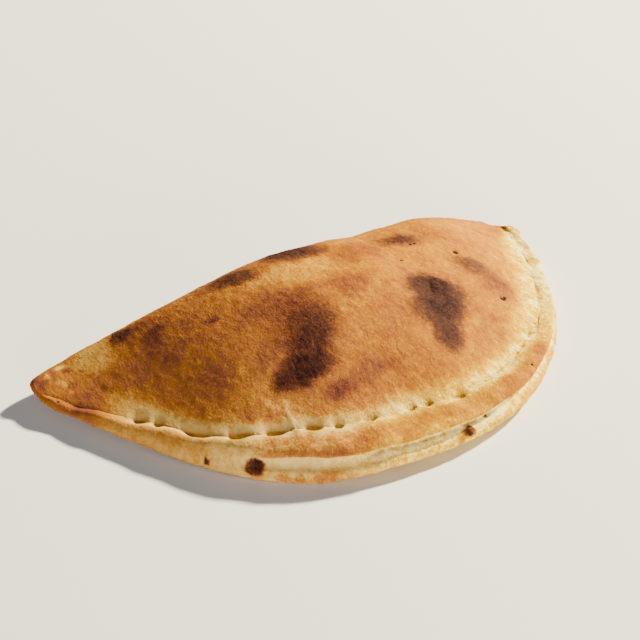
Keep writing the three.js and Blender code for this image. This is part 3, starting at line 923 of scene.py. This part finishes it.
# Mottling of the toast: (amount, size in mm, detail, twist, shift, stretch).
MOTTLES = (
    (0.26, 14, 2, 0.6, 0), (0.4, 5.5, 4, 1.6, 3.7), (0.5, 2.4, 4, 0.8, 7.4, (1, 0.45, 0.6)),
    (0.42, 0.9, 2, 0, 11.1),
)
CALM_TIP = (14, 60)  # places along the fold between which the mottling grows to the full
LEAST_MOTTLE = 0.4

# Noises of the material: (size in mm, detail, twist, shift, stretch).
# noise of the pale specks, partly flour and partly painted glints
FLOUR_AND_GLINT_DOTS = (0.75, 1, 0, 41)
GRAIN = (1.1, 3, 0.5, 11)
PATCHY = (4.5, 3, 1, 17)
FLECKS = (0.7, 1, 0, 23)
GLAZE = (3, 3, 0, 29)
FINE_BUMPS = (0.8, 3, 0, 31)
COARSE_BUMPS = (2, 3, 0.8, 37, (1, 0.6, 0.7))
NOISE_ROUGHNESS = 0.55

# Ranges over which things set in.
TOASTED_RANGE = (0.12, 0.5)
FLOUR_AND_GLINT_RANGE = (0.17, 0.27)
CHAR_RANGE = (0.05, 0.78)
DEEP_CHAR_RANGE = (0.7, 1.1)
FLECK_RANGE = (0.1, 0.24)
FLECKED_CHAR = (0.3, 0.7)
DULL_CHAR = (0.4, 0.9)
SOOT_RANGE = (0.5, 0.95)  # shares of a pinhole's radius

# How much of them there is.
CHAR_TOASTS = 0.26
RAW_AND_SHADE_AMOUNT = 0.8
FLOUR_AND_GLINT_AMOUNT = 0.3
CHAR_GRAIN = 0.8
CHAR_UNEVEN = 0.6
FLECK_AMOUNT = 0.3
SOOT_UNEVEN = 0.6
ROUGHNESS = 0.68
ROUGH_UNEVEN = 0.35
PALE_ROUGHER = 0.16
CHAR_ROUGHER = 0.12
FINE_BUMP_SHARE = 0.5
BUMP_STRENGTH = 0.8
BUMP_HEIGHT = 0.45
SURFACE = {
    "Specular IOR Level": 0.015, "Subsurface Weight": 0.15, "Subsurface Radius": (1, 0.45, 0.2),
    "Subsurface Scale": 1 * MM,
}


class Nodes:
    """A new material, with short ways to add nodes to its tree. Noise needs a place set first."""

    def __init__(self, name):
        self.material = bpy.data.materials.new(name)
        self.material.use_nodes = True
        self.tree = self.material.node_tree

    def add(self, kind, inputs, **settings):
        """A shader node with its settings and inputs."""
        node = self.tree.nodes.new("ShaderNode" + kind)
        for name, value in settings.items():
            setattr(node, name, value)
        self.fill(node, inputs)
        return node

    def fill(self, node, inputs):
        """Joins each input of a node to an output or sets it to a value."""
        for key, value in inputs.items():
            if isinstance(value, bpy.types.NodeSocket):
                self.tree.links.new(value, node.inputs[key])
            else:
                node.inputs[key].default_value = value

    def finished(self, inputs):
        """The material, with the inputs of its surface filled."""
        self.fill(self.tree.nodes["Principled BSDF"], inputs)
        return self.material

    def calc(self, operation, *values):
        """One step of arithmetic."""
        return self.add("Math", dict(enumerate(values)), operation=operation).outputs[0]

    def mark(self, name):
        """A mark read from the mesh's points: one of baking, or the painted shade."""
        return self.add("Attribute", {}, attribute_name=name).outputs["Fac"]

    def noise(self, size, detail, twist, shift, stretch=(1, 1, 1)):
        """Noise from about -0.5 to 0.5 whose lumps have a size in mm."""
        scale = tuple(k / (size * MM) for k in stretch)
        moved = self.add("Mapping", {0: self.place, "Location": 3 * (shift,), "Scale": scale})
        field = self.add("TexNoise", {"Vector": moved.outputs[0], "Scale": 1, "Detail": detail,
                                      "Roughness": NOISE_ROUGHNESS, "Distortion": twist})
        return self.calc("SUBTRACT", field.outputs[0], 0.5)

    def ramp(self, value, start, end):
        """0 below start, 1 above end, and 3k^2 - 2k^3 of the way k between them."""
        return self.add("MapRange", {"Value": value, "From Min": start, "From Max": end},
                        interpolation_type="SMOOTHSTEP").outputs[0]

    def blend(self, factor, a, b, mode="MIX"):
        """Colour a at factor 0 and, at factor 1, colour b or the two joined in the given mode."""
        return self.add("Mix", {0: factor, 6: a, 7: b}, data_type="RGBA",
                        blend_type=mode).outputs[2]


def mottled_toast(nodes, toast, char):
    """Toast, a little higher under char, broken up by the mottles, which are calmer at the tip."""
    mottled = nodes.calc("MULTIPLY_ADD", char, CHAR_TOASTS, toast)
    along_fold = nodes.add("SeparateXYZ", {0: nodes.place}).outputs[0]
    near, far = ((x - middle[0]) * MM for x in CALM_TIP)
    lively = nodes.calc("MULTIPLY_ADD", nodes.ramp(along_fold, near, far), 1 - LEAST_MOTTLE,
                        LEAST_MOTTLE)
    for amount, *mottle in MOTTLES:
        amount = nodes.calc("MULTIPLY", lively, amount)
        mottled = nodes.calc("MULTIPLY_ADD", nodes.noise(*mottle), amount, mottled)
    return mottled


def dough_colour(nodes, mottled, pale, raw_and_shade):
    """Toast looked up in the ramp of dough colours, greyer and bluer where it is unbaked and
    where a painted shade tint lies, with pale specks, partly flour and partly painted glints.
    """
    colour = nodes.add("ValToRGB", {0: mottled})
    stops = colour.color_ramp.elements
    while len(stops) < len(TOAST_COLOURS):
        stops.new(0.5)
    for stop, (position, *rgb) in zip(stops, TOAST_COLOURS):
        stop.position = position
        stop.color = (*rgb, 1)
    # with the rawness the dough turns greyer and bluer: floury, and a painted shade tint
    pale_raw_and_shaded = nodes.calc("MULTIPLY", nodes.calc("MULTIPLY", pale, raw_and_shade), RAW_AND_SHADE_AMOUNT)
    colour = nodes.blend(pale_raw_and_shaded, colour.outputs[0], RAW_AND_SHADED_DOUGH)
    colour = nodes.blend(raw_and_shade, colour, DUST_AND_SHADE_TINT, "ADD")
    # pale specks, partly flour and partly painted glints
    specks = nodes.ramp(nodes.noise(*FLOUR_AND_GLINT_DOTS), *FLOUR_AND_GLINT_RANGE)
    return nodes.blend(nodes.calc("MULTIPLY", specks, FLOUR_AND_GLINT_AMOUNT), colour, FLOUR_AND_GLINT)


def charred(nodes, colour, char, bloom_and_sheen, grain):
    """The colour under grainy, patchy char, brown or grey-violet, black at its deepest and
    flecked. The grey-violet is partly bloomed char and partly painted sheen.
    """
    rough = nodes.calc("MULTIPLY_ADD", grain, CHAR_GRAIN, char)
    rough = nodes.calc("MULTIPLY_ADD", nodes.noise(*PATCHY), CHAR_UNEVEN, rough)
    char_colour = nodes.blend(bloom_and_sheen, BROWN_CHAR, BLOOM_AND_SHEEN_CHAR)
    colour = nodes.blend(nodes.ramp(rough, *CHAR_RANGE), colour, char_colour)
    colour = nodes.blend(nodes.ramp(rough, *DEEP_CHAR_RANGE), colour, DEEP_CHAR)
    flecks = nodes.calc("MULTIPLY", nodes.ramp(nodes.noise(*FLECKS), *FLECK_RANGE),
                        nodes.ramp(char, *FLECKED_CHAR))
    return nodes.blend(nodes.calc("MULTIPLY", flecks, FLECK_AMOUNT), colour, FLECK)


def sooty(nodes, colour, grain, holes):
    """The colour with a sooty spot, ragged by the grain, in each of the pinholes."""
    soot = None
    for centre, radius in holes:
        offset = nodes.add("VectorMath", {0: nodes.place, 1: centre}, operation="SUBTRACT")
        length = nodes.add("VectorMath", {0: offset.outputs[0]}, operation="LENGTH")
        ragged = nodes.calc("MULTIPLY_ADD", grain, SOOT_UNEVEN * radius * MM,
                            length.outputs["Value"])
        start, end = (share * radius * MM for share in SOOT_RANGE)
        stain = nodes.calc("SUBTRACT", 1, nodes.ramp(ragged, start, end))
        soot = stain if soot is None else nodes.calc("MAXIMUM", soot, stain)
    return nodes.blend(soot, colour, SOOT)


def crust_material(holes):
    """The marks of baking, broken up by noise and turned into colour, roughness and bumps, with
    the painted shade darkening the colour.
    """
    nodes = Nodes("baked_crust")
    nodes.place = nodes.add("TexCoord", {}).outputs["Object"]
    toast, char, bloom_and_sheen, shade, raw_and_shade = (nodes.mark(name) for name in MARKS)
    mottled = mottled_toast(nodes, toast, char)
    pale = nodes.calc("SUBTRACT", 1, nodes.ramp(mottled, *TOASTED_RANGE))
    grain = nodes.noise(*GRAIN)
    colour = charred(nodes, dough_colour(nodes, mottled, pale, raw_and_shade), char, bloom_and_sheen, grain)
    # painted shade darkens the floors of pits, pricks, the split and deep streaks
    colour = nodes.blend(shade, colour, nodes.blend(1, colour, PIT_SHADE, "MULTIPLY"))
    colour = sooty(nodes, colour, grain, holes)

    glaze = nodes.calc("MULTIPLY_ADD", nodes.noise(*GLAZE), ROUGH_UNEVEN, ROUGHNESS)
    dull = nodes.calc("MULTIPLY_ADD", pale, PALE_ROUGHER, glaze)
    rough = nodes.calc("MULTIPLY_ADD", nodes.ramp(char, *DULL_CHAR), CHAR_ROUGHER, dull)
    fine = nodes.calc("MULTIPLY", nodes.noise(*FINE_BUMPS), FINE_BUMP_SHARE)
    height = nodes.calc("ADD", fine, nodes.noise(*COARSE_BUMPS))
    bump = nodes.add("Bump", {"Height": height, "Strength": BUMP_STRENGTH,
                              "Distance": BUMP_HEIGHT * MM})
    return nodes.finished({"Base Color": colour, "Roughness": rough, "Normal": bump.outputs[0],
                           **SURFACE})


def on_skin(x, y):
    """The raised skin's point over a place in plan, in metres."""
    upper = raised[:, :DOME_ROWS + WALL_ROWS // 3].reshape(-1, 3)
    nearest = np.hypot(upper[:, 0] + middle[0] - x, upper[:, 1] + middle[1] - y).argmin()
    return (upper[nearest] * MM).tolist()


mesh.materials.append(crust_material([(on_skin(x, y), radius) for x, y, radius, _ in PINHOLES]))

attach(crust, "root")
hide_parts("calzone")

# ---- floor, light and camera ----

CAMERA_HEIGHT = 531  # above the plate, in mm
CAMERA_PITCH = math.radians(29.4)  # below the horizon
FOLD_TURN = math.radians(34.96)  # away from level in the camera's view
TIP_SIDE = -123.3  # how far the tip is to the camera's right
TIP_AHEAD = 872.9  # and ahead of it
FOCAL_LENGTH = 135
SENSOR_WIDTH = 36

FLOOR_REACH = 3  # metres
FLOOR = {"Base Color": (0.82, 0.84, 0.92, 1), "Roughness": 0.6}

# Square soft lights: (name, azimuth, elevation, distance and side in metres, power, colour).
# Azimuth 0 is behind the camera and 90 is to its right.
LIGHTS = (
    ("low_sun", 134, 29, 3, 0.22, 560, (1, 0.89, 0.58)),
    ("room", -30, 60, 2.5, 3, 4, (1, 0.95, 0.86)),
    ("window", 16, 7, 2.6, 0.9, 124, (1, 0.95, 0.87)),
)
ROOM = {"Color": (1, 0.92, 0.82, 1), "Strength": 0.07}


def add_camera():
    """A camera that looks level with the plate's far side and down by its pitch."""
    camera = placed("camera", bpy.data.cameras.new("camera"))
    c, s = math.cos(FOLD_TURN), math.sin(FOLD_TURN)
    x = -(TIP_SIDE * c + TIP_AHEAD * s) - middle[0]
    y = -(-TIP_SIDE * s + TIP_AHEAD * c) - middle[1]
    camera.location = (x * MM, y * MM, CAMERA_HEIGHT * MM)
    camera.rotation_euler = (math.pi / 2 - CAMERA_PITCH, 0, -FOLD_TURN)
    camera.data.lens = FOCAL_LENGTH
    camera.data.sensor_width = SENSOR_WIDTH
    bpy.context.scene.camera = camera


def add_floor():
    """A pale plane under everything."""
    x = FLOOR_REACH
    plane = bpy.data.meshes.new("floor")
    plane.from_pydata([(-x, -x, 0), (x, -x, 0), (x, x, 0), (-x, x, 0)], [], [(0, 1, 2, 3)])
    plane.materials.append(Nodes("floor").finished(FLOOR))
    floor = placed("floor", plane)


def add_light(name, azimuth, elevation, distance, side, power, colour):
    """A light in its direction from the frame's origin, turned to face it."""
    light = bpy.data.lights.new(name, "AREA")
    light.size = side
    light.energy = power
    light.color = colour
    lamp = placed(name, light)
    turn = -FOLD_TURN + math.radians(azimuth)
    rise = math.radians(elevation)
    away = distance * math.cos(rise)
    lamp.location = (away * math.sin(turn), -away * math.cos(turn), distance * math.sin(rise))
    lamp.rotation_euler = (math.pi / 2 - rise, 0, turn)


def add_room():
    """Faint warm light from all around."""
    world = bpy.data.worlds.new("room")
    world.use_nodes = True
    for name, value in ROOM.items():
        world.node_tree.nodes["Background"].inputs[name].default_value = value
    bpy.context.scene.world = world


add_camera()
add_floor()
for light in LIGHTS:
    add_light(*light)
add_room()
